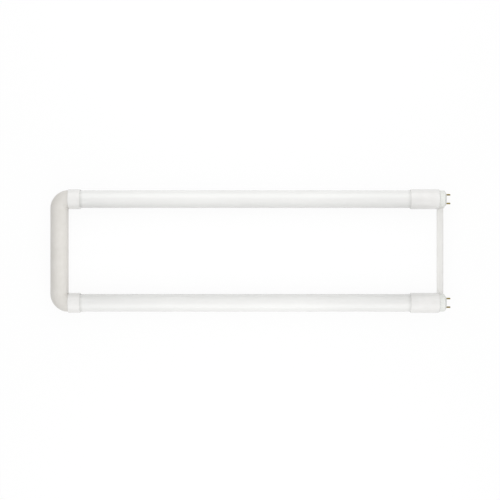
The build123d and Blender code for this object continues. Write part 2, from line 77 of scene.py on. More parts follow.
def add_node(tree, kind, inputs=None, **settings):
    """Add a node with its own settings, and with values or links for its input sockets."""
    node = tree.nodes.new(kind)
    for name, value in settings.items():
        setattr(node, name, value)
    for name, value in (inputs or {}).items():
        if isinstance(value, bpy.types.NodeSocket):
            tree.links.new(value, node.inputs[name])
        else:
            node.inputs[name].default_value = value
    return node


def new_material(name, **shader_values):
    """A material with one Principled shader, whose constant values sit on the shader's own sockets."""
    material = bpy.data.materials.new(name)
    material.use_nodes = True
    tree = material.node_tree
    shader = tree.nodes["Principled BSDF"]
    for socket, value in shader_values.items():
        shader.inputs[socket.replace("_", " ")].default_value = value
    return material, tree, shader


def surface_noise(tree, grain, stretch=(1, 1, 1), detail=2.0):
    """Noise with features about one grain across, in the object's own metres."""
    place = add_node(tree, "ShaderNodeTexCoord").outputs["Object"]
    mapping = add_node(tree, "ShaderNodeMapping", {"Vector": place, "Scale": stretch})
    return add_node(
        tree, "ShaderNodeTexNoise",
        {"Vector": mapping.outputs["Vector"], "Scale": 1 / grain, "Detail": detail},
    ).outputs["Fac"]


def coat(tree, shader, tone, colours, spread, relief, depth):
    """Let the base colour drift between two close colours by one pattern, and the surface stand up by
    another, to a depth in metres."""
    ramp = add_node(tree, "ShaderNodeValToRGB", {"Fac": tone})
    for element, position, colour in zip(ramp.color_ramp.elements, spread, colours):
        element.position = position
        element.color = linear(colour)
    tree.links.new(ramp.outputs["Color"], shader.inputs["Base Color"])
    raised = add_node(tree, "ShaderNodeBump", {"Height": relief, "Distance": depth, "Strength": 1.0})
    tree.links.new(raised.outputs["Normal"], shader.inputs["Normal"])


def opal_polycarbonate():
    """Extruded polycarbonate with a white diffusing filler: satin, milky, and a little see-into, with
    fine die lines that run along the tube."""
    material, tree, shader = new_material(
        "opal_polycarbonate_extruded", Roughness=0.22, IOR=1.586,
        Subsurface_Weight=0.15, Subsurface_Scale=1.5 * mm, Subsurface_Radius=(1, 1, 1),
    )
    # Die lines are finer than this on the real tube; 0.9 mm is what still shows close up.
    lines = surface_noise(tree, 0.9 * mm, stretch=(0.01, 1, 1))
    # The filler leaves faint clouds, about 30 mm across and longer along the tube.
    clouds = surface_noise(tree, 30 * mm, stretch=(0.3, 1, 1))
    shade = add_node(tree, "ShaderNodeMapRange", {
        "Value": clouds, "From Min": 0.35, "From Max": 0.65, "To Min": 0.9, "To Max": 1.0,
    }).outputs["Result"]
    # Painted shade: within a few millimetres of each collar, the base colour is darkened towards the
    # ramp's grey end. It stands in for the shade that falls beside the collars.
    place = add_node(tree, "ShaderNodeTexCoord").outputs["Object"]
    along = add_node(tree, "ShaderNodeSeparateXYZ", {"Vector": place}).outputs["X"]
    for collar_edge, inward in ((open_start, 1), (open_end, -1)):
        painted_shade = add_node(tree, "ShaderNodeMapRange", {
            "Value": along, "From Min": collar_edge, "From Max": collar_edge + inward * painted_shade_width,
            "To Min": painted_shade_depth, "To Max": 0.0,
        }, interpolation_type="SMOOTHSTEP")
        shade = add_node(
            tree, "ShaderNodeMath", {0: shade, 1: painted_shade.outputs["Result"]}, operation="SUBTRACT").outputs[0]
    coat(tree, shader, shade, ("C8C8C5", "F3F3F1"), (0.0, 1.0), lines, 0.012 * mm)
    return material


def arc(radius, start, end, steps, centre=(0, 0)):
    """Points along an arc, angles in radians, both ends included."""
    angles = [start + (end - start) * i / steps for i in range(steps + 1)]
    return [(centre[0] + radius * cos(a), centre[1] + radius * sin(a)) for a in angles]


def add_prism(bm, loops, place, depth):
    """Add the solid between closed loops of points on a plane, as deep as depth along its normal."""
    edges = []
    for loop in loops:
        verts = [bm.verts.new(place @ Vector((u, v, 0))) for u, v in loop]
        edges += [bm.edges.new(pair) for pair in zip(verts, verts[1:] + verts[:1])]
    normal = place.to_3x3() @ Vector((0, 0, 1))
    filled = bmesh.ops.triangle_fill(bm, use_beauty=True, edges=edges, normal=normal)
    faces = [item for item in filled["geom"] if isinstance(item, bmesh.types.BMFace)]
    raised = bmesh.ops.extrude_face_region(bm, geom=faces, use_keep_orig=True)
    verts = [item for item in raised["geom"] if isinstance(item, bmesh.types.BMVert)]
    bmesh.ops.translate(bm, vec=normal * depth, verts=verts)


def new_object(name, data):
    """An object in the scene, at the origin."""
    made = bpy.data.objects.new(name, data)
    bpy.context.scene.collection.objects.link(made)
    return made


def finished(bm, name, material):
    """Close a piece's mesh, turn its faces outwards and give it its material."""
    bmesh.ops.recalc_face_normals(bm, faces=bm.faces)
    mesh = bpy.data.meshes.new(name)
    bm.to_mesh(mesh)
    bm.free()
    mesh.shade_smooth()
    mesh.set_sharp_from_angle(angle=smooth_angle)
    mesh.materials.append(material)
    return new_object(name, mesh)


def prism(name, loops, place, depth, material):
    """A finished piece that is one prism."""
    bm = bmesh.new()
    add_prism(bm, loops, place, depth)
    return finished(bm, name, material)


def stand_for(piece, slot, *nodes):
    """Seat a piece on the lamp's one body, in place of its CAD nodes."""
    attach(piece, "root")
    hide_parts(*nodes)


def leg_y(leg):
    """Where a leg's axis lies across the lamp."""
    return leg_sides[leg] * leg_spacing / 2


def across_leg(leg, x):
    """Plane across a leg at x: u runs along Y and v along Z."""
    turn = Matrix(((0, 0, 1), (1, 0, 0), (0, 1, 0))).to_4x4()
    return Matrix.Translation((x, leg_y(leg), axis_z)) @ turn


def bore_angle(height, radius=bore_r):
    """Angle at which a bore passes a height over its axis."""
    return atan2(height, sqrt(radius ** 2 - height ** 2))


def bore_outline():
    """The bore's outline, with the two C-shaped rails of the track on its floor."""
    rail = [
        (lip_y, track_top), (lip_y, slot_top), (slot_y, slot_top),
        (slot_y, slot_floor), (ledge_y, slot_floor), (ledge_y, track_floor),
    ]
    roof = arc(bore_r, bore_angle(track_top), pi - bore_angle(track_top), round_steps * 3 // 4)
    floor = arc(bore_r, pi - bore_angle(track_floor), 2 * pi + bore_angle(track_floor), round_steps // 6)
    return roof + [(-y, z) for y, z in rail] + floor + rail[::-1]


opal = opal_polycarbonate()
for leg in leg_sides:
    start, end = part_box(f"tube_{leg}")
    loops = [arc(tube_r, 0, 2 * pi, round_steps)[:-1], bore_outline()]
    tube = prism(f"opal_tube_{leg}", loops, across_leg(leg, start.x), end.x - start.x, opal)
    stand_for(tube, "opal_tube", f"tube_{leg}")


# Collars
# Four moulded sleeves join the tubes to the bend and to the end caps. Each is one white moulding
# with broken edges and a ring inside that keeps the two pushed-in ends apart.
collar_r = 14.7 * mm
tube_socket_r = 13.1 * mm
bend_socket_r = 13.35 * mm
cap_socket_r = 13.0 * mm
ring_length = 1.2 * mm
bend_collar_tube_depth = 8.0 * mm
base_collar_tube_depth = 20.0 * mm
bore_edge = 0.25 * mm
bend_collar_edge = 0.5 * mm
base_collar_rear_edge = 0.7 * mm
base_collar_front_edge = 1.2 * mm
hold = 0.12 * mm


def finish(name, colours, tone, relief, depth, spread=(0.3, 0.7), **shader_values):
    """A material coated by noise: one for its tone and one for its relief, each given by the settings
    of surface_noise."""
    material, tree, shader = new_material(name, **shader_values)
    tones = surface_noise(tree, **tone)
    heights = surface_noise(tree, **relief)
    coat(tree, shader, tones, colours, spread, heights, depth)
    return material


def rounded(corners, steps=6):
    """An outline whose corners, given as (x, height, round), are rounded, with a point just past
    each round so that the flats beside it shade flat."""
    outline = []
    for i, (x, height, radius) in enumerate(corners):
        corner = Vector((x, height))
        if radius == 0:
            outline.append(corner)
            continue
        back = (Vector(corners[i - 1][:2]) - corner).normalized()
        ahead = (Vector(corners[(i + 1) % len(corners)][:2]) - corner).normalized()
        half = back.angle(ahead) / 2
        reach = radius / sin(half) * cos(half)
        centre = corner + (back + ahead).normalized() * radius / sin(half)
        first = corner + back * reach - centre
        last = corner + ahead * reach - centre
        outline.append(corner + back * (reach + hold))
        outline += [centre + first.lerp(last, i / steps).normalized() * radius for i in range(steps + 1)]
        outline.append(corner + ahead * (reach + hold))
    return outline


def add_turned(bm, outline, place, steps=round_steps):
    """Revolve a closed outline of (x, height) points about the x axis of a plane. A point of no
    height becomes one pole."""
    rings = []
    for x, height in outline:
        if height <= 0:
            rings.append([bm.verts.new(place @ Vector((x, 0, 0)))] * steps)
            continue
        angles = [2 * pi * i / steps for i in range(steps)]
        rings.append([bm.verts.new(place @ Vector((x, height * cos(a), height * sin(a)))) for a in angles])
    for ring, following in zip(rings, rings[1:] + rings[:1]):
        for i in range(steps):
            j = (i + 1) % steps
            corners = list(dict.fromkeys([ring[i], ring[j], following[j], following[i]]))
            if len(corners) > 2:
                bm.faces.new(corners)


def along_x(y, z=axis_z):
    """Plane whose x axis runs along X at y and z."""
    return Matrix.Translation((0, y, z))


def turned(name, outline, place, material, steps=round_steps):
    """A finished piece that is one turned form."""
    bm = bmesh.new()
    add_turned(bm, outline, place, steps)
    return finished(bm, name, material)


def collar_outline(start, end, ring_start, rear_bore_r, front_bore_r, rear_edge, front_edge):
    """Half section of a collar, with its ring."""
    ring_end = ring_start + ring_length
    return rounded([
        (start, rear_bore_r, bore_edge), (start, collar_r, rear_edge),
        (end, collar_r, front_edge), (end, front_bore_r, bore_edge),
        (ring_end, front_bore_r, 0), (ring_end, bore_r, 0),
        (ring_start, bore_r, 0), (ring_start, rear_bore_r, 0),
    ])


# Injection-moulded polycarbonate: bright white with a satin spark-eroded grain, and a faint drift of
# tone where it cooled. The mould's grain is about 0.1 mm; it is drawn at 0.35 mm to show close up.
white_plastic = finish(
    "white_polycarbonate_moulded", ("F0EFED", "F3F2F0"), tone=dict(grain=9 * mm),
    relief=dict(grain=0.35 * mm, detail=3.0), depth=0.008 * mm, spread=(0.35, 0.65),
    Roughness=0.25, IOR=1.586)
for leg in leg_sides:
    start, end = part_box(f"bend_collar_{leg}")
    outline = collar_outline(
        start.x, end.x, end.x - bend_collar_tube_depth - ring_length,
        bend_socket_r, tube_socket_r, bend_collar_edge, bend_collar_edge)
    sleeve = turned(f"bend_sleeve_{leg}", outline, along_x(leg_y(leg)), white_plastic)
    stand_for(sleeve, "white_plastic", f"bend_collar_{leg}")

    start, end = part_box(f"base_collar_{leg}")
    outline = collar_outline(
        start.x, end.x, start.x + base_collar_tube_depth,
        tube_socket_r, cap_socket_r, base_collar_rear_edge, base_collar_front_edge)
    sleeve = turned(f"base_sleeve_{leg}", outline, along_x(leg_y(leg)), white_plastic)
    stand_for(sleeve, "white_plastic", f"base_collar_{leg}")


# Bend
# A hollow U of warm grey-white ABS, moulded as a front and a back half that snap together in the
# plane of the legs. A fine V groove hides the seam; ribs inside stiffen both halves.
bend_r = 13.25 * mm
bend_bore_r = 11.45 * mm
elbow_radius = 13.65 * mm
elbow_steps = 40
half_steps = 80
seam_notch = 0.283 * mm
notch_r = bend_r - seam_notch
notch_angle = seam_notch / bend_r
recess_r = 12.35 * mm
recess_height = 1.4 * mm
tongue_r = 12.25 * mm
tongue_height = 1.2 * mm
rib_count = 5
rib_pitch = 25 * mm
rib_thickness = 1.2 * mm
rib_outer_r = 11.75 * mm
rib_inner_r = 9.65 * mm
rib_clearance = 0.05 * mm
snap_count = 4
snap_width = 6 * mm
merge_distance = 0.0005 * mm
# The arm that hangs from the front half, with the barb at its end, and the catch on the back half
# that the barb hooks under: millimetres across the tube and up from the seam.
snap_arm = (
    (8.45, 4.0), (11.75, 4.0), (11.75, 1.4), (9.7, 1.4), (9.7, -2.5), (10.3, -2.5), (9.7, -4.2),
    (8.45, -4.2),
)
catch = ((9.8, -2.4), (11.75, -2.4), (11.75, -0.7), (10.6, -0.7), (9.8, -1.5))
# Turns a plane to face down the Y axis: u runs along X and v along Z.
crosswise = Matrix(((1, 0, 0), (0, 0, -1), (0, 1, 0))).to_4x4()


def poly_curve(name, places, closed):
    """A curve object that runs straight from place to place."""
    curve = bpy.data.curves.new(name, "CURVE")
    curve.dimensions = "3D"
    spline = curve.splines.new("POLY")
    spline.points.add(len(places) - 1)
    for point, place in zip(spline.points, places):
        point.co = (*place, 1)
    spline.use_cyclic_u = closed
    return new_object(name, curve)


def inner_form(name, outlines, width):
    """A rib or a pair of snaps, of a width along Y, about the middle of the cross tube's stretch."""
    bm = bmesh.new()
    for outline in outlines:
        add_prism(bm, [outline], Matrix.Translation((0, width / 2, 0)) @ crosswise, width)
    return finished(bm, name, abs_plastic)


def front_section():
    """The front half: a rim with a recess that takes the back half's tongue."""
    outer = arc(bend_r, notch_angle, pi - notch_angle, half_steps)
    lip_angle = bore_angle(recess_height, bend_bore_r)
    inner = arc(bend_bore_r, pi - lip_angle, lip_angle, half_steps)
    left = [(-notch_r, 0), (-recess_r, 0), (-recess_r, recess_height)]
    right = [(recess_r, recess_height), (recess_r, 0), (notch_r, 0)]
    return outer + left + inner + right


def back_section():
    """The back half, with the tongue that stands in the front half's recess."""
    outer = arc(bend_r, pi + notch_angle, 2 * pi - notch_angle, half_steps)
    lip_angle = bore_angle(tongue_height, bend_bore_r)
    inner = arc(bend_bore_r, lip_angle, -pi - lip_angle, half_steps)
    right = [(notch_r, 0), (tongue_r, 0), (tongue_r, tongue_height)]
    left = [(-tongue_r, tongue_height), (-tongue_r, 0), (-notch_r, 0)]
    return outer + right + inner + left


def front_rib():
    """A half ring inside the front half, clear of the tongue."""
    foot = recess_height + rib_clearance
    outer_angle, inner_angle = atan2(foot, rib_outer_r), atan2(foot, rib_inner_r)
    outer = arc(rib_outer_r, outer_angle, pi - outer_angle, half_steps // 2)
    inner = arc(rib_inner_r, pi - inner_angle, inner_angle, half_steps // 2)
    return outer + inner


def back_rib():
    """A half ring inside the back half, filled at the bottom and notched as saddles for two wires."""
    saddle_top = -6.68 * mm
    saddle_floor = -8.03 * mm
    notch_centres = (1.5 * mm, -1.5 * mm)
    notch_half = 0.75 * mm
    top_angle = bore_angle(saddle_top, rib_inner_r)
    outer = arc(rib_outer_r, pi, 2 * pi, half_steps // 2)
    right = arc(rib_inner_r, 0, top_angle, half_steps // 8)
    left = arc(rib_inner_r, pi - top_angle, pi, half_steps // 8)
    notches = []
    for centre in notch_centres:
        notches += [
            (centre + notch_half, saddle_top), (centre + notch_half, saddle_floor),
            (centre - notch_half, saddle_floor), (centre - notch_half, saddle_top),
        ]
    return outer + right + notches + left


def both_sides(outline):
    """An outline given in millimetres, and its mirror image."""
    return [[(side * x * mm, z * mm) for x, z in outline] for side in (1, -1)]


def new_tree(name, inputs):
    """A Geometry Nodes tree with more named inputs than its geometry, and their sockets in it."""
    tree = bpy.data.node_groups.new(name, "GeometryNodeTree")
    for socket, kind in {"Geometry": "Geometry", **inputs}.items():
        tree.interface.new_socket(socket, in_out="INPUT", socket_type=f"NodeSocket{kind}")
    tree.interface.new_socket("Geometry", in_out="OUTPUT", socket_type="NodeSocketGeometry")
    return tree, add_node(tree, "NodeGroupInput").outputs


def copies_in_row(tree, form, count, first, step):
    """Inside a tree, copies of an object in a straight row."""
    shape = add_node(tree, "GeometryNodeObjectInfo", {"Object": form})
    line = add_node(
        tree, "GeometryNodeMeshLine", {"Count": count, "Start Location": first, "Offset": step})
    copies = add_node(tree, "GeometryNodeInstanceOnPoints", {
        "Points": line.outputs["Mesh"], "Instance": shape.outputs["Geometry"]})
    return copies.outputs["Instances"]


def end_tree(tree, geometry, material):
    """Make a tree's copies real, give them their material and put them out."""
    real = add_node(tree, "GeometryNodeRealizeInstances", {"Geometry": geometry})
    coated = add_node(tree, "GeometryNodeSetMaterial", {
        "Geometry": real.outputs["Geometry"], "Material": material})
    add_node(tree, "NodeGroupOutput", {"Geometry": coated.outputs["Geometry"]})


def half_tree():
    """Sweep a section along a filleted route, and repeat ribs and snaps along the cross tube."""
    tree, given = new_tree("moulded_half", {
        "Section": "Object", "Elbow radius": "Float", "Elbow steps": "Int",
        "Rib": "Object", "Rib count": "Int", "Rib pitch": "Float",
        "Snap": "Object", "Snap count": "Int", "Row centre": "Vector", "Material": "Material",
    })
    section = add_node(tree, "GeometryNodeObjectInfo", {"Object": given["Section"]})
    route = add_node(
        tree, "GeometryNodeFilletCurve",
        {"Curve": given["Geometry"], "Radius": given["Elbow radius"], "Count": given["Elbow steps"]},
        mode="POLY",
    )
    shell = add_node(tree, "GeometryNodeCurveToMesh", {
        "Curve": route.outputs["Curve"], "Profile Curve": section.outputs["Geometry"], "Fill Caps": True})
    joined = add_node(tree, "GeometryNodeJoinGeometry")
    tree.links.new(shell.outputs["Mesh"], joined.inputs["Geometry"])
    step = add_node(tree, "ShaderNodeCombineXYZ", {"Y": given["Rib pitch"]}).outputs["Vector"]
    for form in ("Rib", "Snap"):
        count = given[f"{form} count"]
        # A row starts half its steps before the cross tube's middle.
        steps = add_node(tree, "ShaderNodeMath", {0: count, 1: 1.0}, operation="SUBTRACT").outputs[0]
        back = add_node(tree, "ShaderNodeMath", {0: steps, 1: -0.5}, operation="MULTIPLY").outputs[0]
        first = add_node(
            tree, "ShaderNodeVectorMath", {0: step, 1: back, 2: given["Row centre"]},
            operation="MULTIPLY_ADD")
        row = copies_in_row(tree, given[form], count, first.outputs[0], step)
        tree.links.new(row, joined.inputs["Geometry"])
    end_tree(tree, joined.outputs["Geometry"], given["Material"])
    return tree


def evaluated_mesh(piece):
    """The mesh that a piece's modifiers give."""
    seen = bpy.context.evaluated_depsgraph_get()
    return bpy.data.meshes.new_from_object(piece.evaluated_get(seen), depsgraph=seen)


def grown(carrier, tree, values):
    """Run a tree on a carrier object and keep the result as a mesh. The carrier goes."""
    modifier = carrier.modifiers.new("grow", "NODES")
    modifier.node_group = tree
    for item in tree.interface.items_tree:
        if item.in_out == "INPUT" and item.name in values:
            modifier[item.identifier] = values[item.name]
    mesh = evaluated_mesh(carrier)
    bpy.data.objects.remove(carrier)
    bm = bmesh.new()
    bm.from_mesh(mesh)
    bmesh.ops.remove_doubles(bm, verts=bm.verts, dist=merge_distance)
    return bm


# Injection-moulded ABS: warm grey-white, satin, with soft clouds where the melt flowed round the bend.
# The mould's grain is about 0.1 mm; it is drawn at 0.4 mm to show close up.
abs_plastic = finish(
    "grey_white_abs_moulded", ("DEDBD5", "E2DFDA"), tone=dict(grain=14 * mm),
    relief=dict(grain=0.4 * mm, detail=3.0), depth=0.01 * mm, spread=(0.35, 0.65),
    Roughness=0.28, IOR=1.54)
start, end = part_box("bend_front_shell")
cross_x = start.x + bend_r
corners = [
    (x, side * leg_spacing / 2, axis_z)
    for x, side in ((end.x, 1), (cross_x, 1), (cross_x, -1), (end.x, -1))
]
tree = half_tree()
halves = {
    "front": (front_section(), front_rib(), snap_arm),
    "back": (back_section(), back_rib(), catch),
}
for half, (section, rib, snap) in halves.items():
    # A sweep along a level route lays a section's y axis down the Z axis, so it goes in upside down.
    tools = [
        poly_curve(f"{half}_section", [(u, -v, 0) for u, v in section], closed=True),
        inner_form(f"{half}_rib", [rib], rib_thickness),
        inner_form(f"{half}_snap", both_sides(snap), snap_width),
    ]
    bm = grown(poly_curve("bend_route", corners, closed=False), tree, {
        "Section": tools[0], "Elbow radius": elbow_radius, "Elbow steps": elbow_steps,
        "Rib": tools[1], "Rib count": rib_count, "Rib pitch": rib_pitch,
        "Snap": tools[2], "Snap count": snap_count,
        "Row centre": (cross_x, 0, axis_z), "Material": abs_plastic,
    })
    for tool in tools:
        bpy.data.objects.remove(tool)
    stand_for(finished(bm, f"bend_{half}_half", abs_plastic), "grey_plastic", f"bend_{half}_shell")


# End caps
# A cup of white PBT with a coned front closes each leg. It carries the two pins in bosses and the
# power board in rails, and is glued into the base sleeve.
cap_r = 12.9 * mm
cap_bore_r = 11.4 * mm
cone_length = 2.8 * mm
cone_depth = 4.0 * mm
cap_front_wall = 2.0 * mm
cap_edge = 0.3 * mm
cone_edge = 0.8 * mm
boss_r = 2.5 * mm
boss_height = 2.0 * mm
pin_spacing = 12.7 * mm
pin_hole_r = 1.4 * mm
peg_hole_r = 1.6 * mm
peg_setback = 7.1 * mm
board_setback = 9.5 * mm
rail_roof = 0.6 * mm
slot_roof = -0.6 * mm
slot_bottom = -2.4 * mm
rail_floor = -3.6 * mm
rail_reach_y = 9.07 * mm
rail_slot_y = 10.07 * mm
rail_steps = 12
weld = 0.3 * mm
small_round_steps = 64


def drill(piece, place, radius, depth, steps=small_round_steps):
    """Cut a round hole of a radius into a piece, from a plane and to a depth along its normal."""
    tool = prism("drill", [arc(radius, 0, 2 * pi, steps)[:-1]], place, depth, None)
    cut = piece.modifiers.new("hole", "BOOLEAN")
    cut.operation = "DIFFERENCE"
    cut.solver = "EXACT"
    cut.object = tool
    mesh = evaluated_mesh(piece)
    piece.modifiers.clear()
    piece.data = mesh
    bpy.data.objects.remove(tool)


def reopened(piece):
    """A piece's mesh, ready to be added to. The piece itself goes."""
    bm = bmesh.new()
    bm.from_mesh(piece.data)
    bpy.data.objects.remove(piece)
    return bm


def board_rails():
    """The rails inside a cap, as outlines across the leg: a C on each side that takes the board's edge."""
    outline = [
        (rail_reach_y, rail_roof), (rail_reach_y, slot_roof), (rail_slot_y, slot_roof),
        (rail_slot_y, slot_bottom), (rail_reach_y, slot_bottom), (rail_reach_y, rail_floor),
    ]
    wall = arc(
        cap_bore_r + weld, atan2(rail_floor, cap_bore_r), atan2(rail_roof, cap_bore_r), rail_steps)
    return [[(side * y, z) for y, z in outline + wall] for side in (1, -1)]


def facing_other_leg(leg, x, depth):
    """Upright plane that faces the other leg, at a distance from its own leg's axis."""
    side = leg_sides[leg]
    turn = Matrix(((side, 0, 0), (0, 0, -side), (0, 1, 0))).to_4x4()
    return Matrix.Translation((x, leg_y(leg) - side * depth, axis_z)) @ turn


# Injection-moulded glass-filled PBT: a greener white than the sleeves and a little duller. The mottle
# that the filler leaves has its real size, a few tenths of a millimetre.
pbt = finish(
    "white_pbt_moulded", ("EDEFEA", "F1F2EE"), tone=dict(grain=3 * mm),
    relief=dict(grain=0.3 * mm, detail=4.0), depth=0.01 * mm, spread=(0.35, 0.65),
    Roughness=0.34, IOR=1.57)
for leg in leg_sides:
    start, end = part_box(f"end_cap_{leg}")
    face_r = cap_r - cone_depth
    inner_face = end.x - cap_front_wall
    inner_cone = (cone_depth - (cap_r - cap_bore_r)) * cone_length / cone_depth
    outline = rounded([
        (start.x, cap_bore_r, 0), (start.x, cap_r, cap_edge),
        (end.x - cone_length, cap_r, cone_edge), (end.x, face_r, cone_edge),
        (end.x, 0, 0), (inner_face, 0, 0),
        (inner_face, face_r, 0), (inner_face - inner_cone, cap_bore_r, 0),
    ])
    cup = turned("cup", outline, along_x(leg_y(leg)), pbt)
    boss_plane = across_leg(leg, inner_face - boss_height)
    pin_places = (-pin_spacing / 2, pin_spacing / 2)
    for y in pin_places:
        place = Matrix.Translation((0, y, 0)) @ boss_plane
        drill(cup, place, pin_hole_r, 2 * boss_height + cap_front_wall)
    drill(cup, facing_other_leg(leg, end.x - peg_setback, 0), peg_hole_r, 2 * cap_r)
    bm = reopened(cup)
    for y in pin_places:
        boss = [arc(r, 0, 2 * pi, small_round_steps, (y, 0))[:-1] for r in (boss_r, pin_hole_r)]
        add_prism(bm, boss, boss_plane, boss_height)
    for rail in board_rails():
        add_prism(bm, [rail], across_leg(leg, start.x), end.x - board_setback - start.x)
    stand_for(finished(bm, f"pin_cap_{leg}", pbt), "white_plastic", f"end_cap_{leg}")


# Contact pins
# Four turned brass pins, pushed through the caps from inside up to a flange. The free end is
# bevelled so that it finds its way into the lampholder.
pin_r = 1.175 * mm
shank_r = 1.35 * mm
flange_r = 1.8 * mm
flange_thickness = 0.6 * mm
pin_bore_r = 0.75 * mm
pin_bore_depth = 5.0 * mm
pin_edge = 0.1 * mm
pin_tip_round = 0.7 * mm

# Turned brass, a little tarnished: a warm metal with duller, browner patches and fine rings round it
# from the tool. The rings are 0.25 mm apart, coarser than real, so that they show close up.
brass = finish(
    "brass_turned", ("776838", "94834A"), tone=dict(grain=1.6 * mm),
    relief=dict(grain=0.25 * mm, stretch=(1, 0.02, 0.02)), depth=0.01 * mm,
    Metallic=1.0, Roughness=0.3)
for leg, side in leg_sides.items():
    cap_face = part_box(f"end_cap_{leg}")[1].x
    boss_end = cap_face - cap_front_wall - boss_height
    flange = boss_end - flange_thickness
    for position, across in {"inner": -side, "outer": side}.items():
        tail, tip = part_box(f"contact_pin_{leg}_{position}")
        bore_end = tail.x + pin_bore_depth
        outline = rounded([
            (tail.x, pin_bore_r, 0), (tail.x, shank_r, pin_edge),
            (flange, shank_r, 0), (flange, flange_r, pin_edge),
            (boss_end, flange_r, pin_edge), (boss_end, shank_r, 0),
            (cap_face, shank_r, 0), (cap_face, pin_r, 0),
            (tip.x, pin_r, pin_tip_round), (tip.x, 0, 0),
            (bore_end, 0, 0), (bore_end, pin_bore_r, 0),
        ])
        place = along_x(leg_y(leg) + across * pin_spacing / 2)
        pin = turned(f"pin_{leg}_{position}", outline, place, brass, small_round_steps)
        stand_for(pin, "brass", f"contact_pin_{leg}_{position}")


# Brace
# A straight moulded bar between the bases. Each end is hollowed to sit on the sleeve and the cap,
# and has a peg that is pressed into the cap's side.
brace_width = 9.0 * mm
brace_thickness = 6.0 * mm
brace_round = 1.4 * mm
peg_r = 1.5 * mm
peg_length = 4.0 * mm
peg_steps = 48
fit_gap = 0.1 * mm


def rounded_bar(width, thickness, radius, steps=8):
    """The outline of a bar with rounded edges, anticlockwise about its middle."""
    outline = []
    for turn, (u, v) in enumerate(((1, 1), (-1, 1), (-1, -1), (1, -1))):
        centre = (u * (width / 2 - radius), v * (thickness / 2 - radius))
        outline += arc(radius, turn * pi / 2, (turn + 1) * pi / 2, steps, centre)
    return outline


# Injection-moulded polypropylene: white but a shade greyer than the sleeves, with the long soft flow
# marks of a thin bar. The mould's grain is about 0.1 mm; it is drawn at 0.35 mm to show close up.
brace_plastic = finish(
    "white_polypropylene_moulded", ("E8E7E4", "ECEBE8"), tone=dict(grain=6 * mm, stretch=(1, 0.15, 1)),
    relief=dict(grain=0.35 * mm, detail=3.0), depth=0.008 * mm, spread=(0.35, 0.65),
    Roughness=0.35, IOR=1.49)
start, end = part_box("brace")
bar_end = Matrix.Translation(((start.x + end.x) / 2, leg_spacing / 2, axis_z)) @ crosswise
outline = rounded_bar(brace_width, brace_thickness, brace_round)
bar = prism("bar", [outline], bar_end, leg_spacing, brace_plastic)
for leg in leg_sides:
    collar_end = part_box(f"base_collar_{leg}")[1].x
    drill(bar, across_leg(leg, collar_end - 2 * brace_width), collar_r + fit_gap,
          2 * brace_width + fit_gap, steps=round_steps)
    drill(bar, across_leg(leg, collar_end), cap_r + fit_gap, 2 * brace_width, steps=round_steps)
bm = reopened(bar)
peg = arc(peg_r, 0, 2 * pi, peg_steps)[:-1]
for leg in leg_sides:
    peg_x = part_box(f"end_cap_{leg}")[1].x - peg_setback
    add_prism(bm, [peg], facing_other_leg(leg, peg_x, cap_bore_r + fit_gap), peg_length)
stand_for(finished(bm, "brace_bar", brace_plastic), "white_plastic", "brace")


# Light boards
# An aluminium strip in each tube's track, with a white solder mask over its copper side. The strip is
# cut from a panel, so its edges and its back are bare metal.
mask_depth = 0.15 * mm
diode_pitch = 10 * mm


def box_mask(tree, low, high):
    """1 inside a box and 0 outside it, in the object's own metres."""
    place = add_node(tree, "ShaderNodeTexCoord").outputs["Object"]
    centre = (Vector(low) + Vector(high)) / 2
    half = (Vector(high) - Vector(low)) / 2
    offset = add_node(tree, "ShaderNodeVectorMath", {0: place, 1: centre}, operation="SUBTRACT")
    offset = add_node(tree, "ShaderNodeVectorMath", {0: offset.outputs[0]}, operation="ABSOLUTE")
    parts = add_node(tree, "ShaderNodeSeparateXYZ", {"Vector": offset.outputs[0]}).outputs
    mask = 1.0
    for axis, reach in zip("XYZ", half):
        inside = add_node(tree, "ShaderNodeMath", {0: parts[axis], 1: reach}, operation="LESS_THAN")
        mask = add_node(
            tree, "ShaderNodeMath", {0: mask, 1: inside.outputs[0]}, operation="MULTIPLY").outputs[0]
    return mask


def copper_tracks(tree, length, pitch, gap, blur, second_tone, shift):
    """Copper under a mask: rows of tracks with narrow gaps between them, every second row shifted by
    a share of a track's length."""
    place = add_node(tree, "ShaderNodeTexCoord").outputs["Object"]
    tracks = add_node(tree, "ShaderNodeTexBrick", {
        "Vector": place, "Color1": (1, 1, 1, 1), "Color2": (second_tone, second_tone, second_tone, 1),
        "Mortar": (0, 0, 0, 1), "Scale": 1.0, "Mortar Size": gap, "Mortar Smooth": blur,
        "Brick Width": length, "Row Height": pitch,
    }, offset=shift)
    return tracks.outputs["Color"]


def two_finishes(name, low, high, inside, outside, tracks=None, relief=0.01 * mm):
    """One finish inside a box and another outside it. A finish is two close colours, roughness and
    metallic; copper tracks or a fine grain go between the two colours and stand out by the relief."""
    material, tree, shader = new_material(name)
    mask = box_mask(tree, low, high)
    if tracks:
        pattern = copper_tracks(tree, **tracks)
    else:
        pattern = surface_noise(tree, 0.8 * mm, detail=3.0)
    # Inputs 6 and 7 and output 2 of a colour Mix node are its colours.
    colours = []
    for first, second, _, _ in (outside, inside):
        blend = add_node(
            tree, "ShaderNodeMix", {"Factor": pattern, 6: linear(first), 7: linear(second)},
            data_type="RGBA")
        colours.append(blend.outputs[2])
    colour = add_node(
        tree, "ShaderNodeMix", {"Factor": mask, 6: colours[0], 7: colours[1]}, data_type="RGBA")
    tree.links.new(colour.outputs[2], shader.inputs["Base Color"])
    for socket, i in (("Roughness", 2), ("Metallic", 3)):
        if outside[i] == inside[i]:
            shader.inputs[socket].default_value = inside[i]
            continue
        value = add_node(
            tree, "ShaderNodeMapRange", {"Value": mask, "To Min": outside[i], "To Max": inside[i]})
        tree.links.new(value.outputs["Result"], shader.inputs[socket])
    raised = add_node(tree, "ShaderNodeBump", {"Height": pattern, "Distance": relief, "Strength": 1.0})
    tree.links.new(raised.outputs["Normal"], shader.inputs["Normal"])
    return material


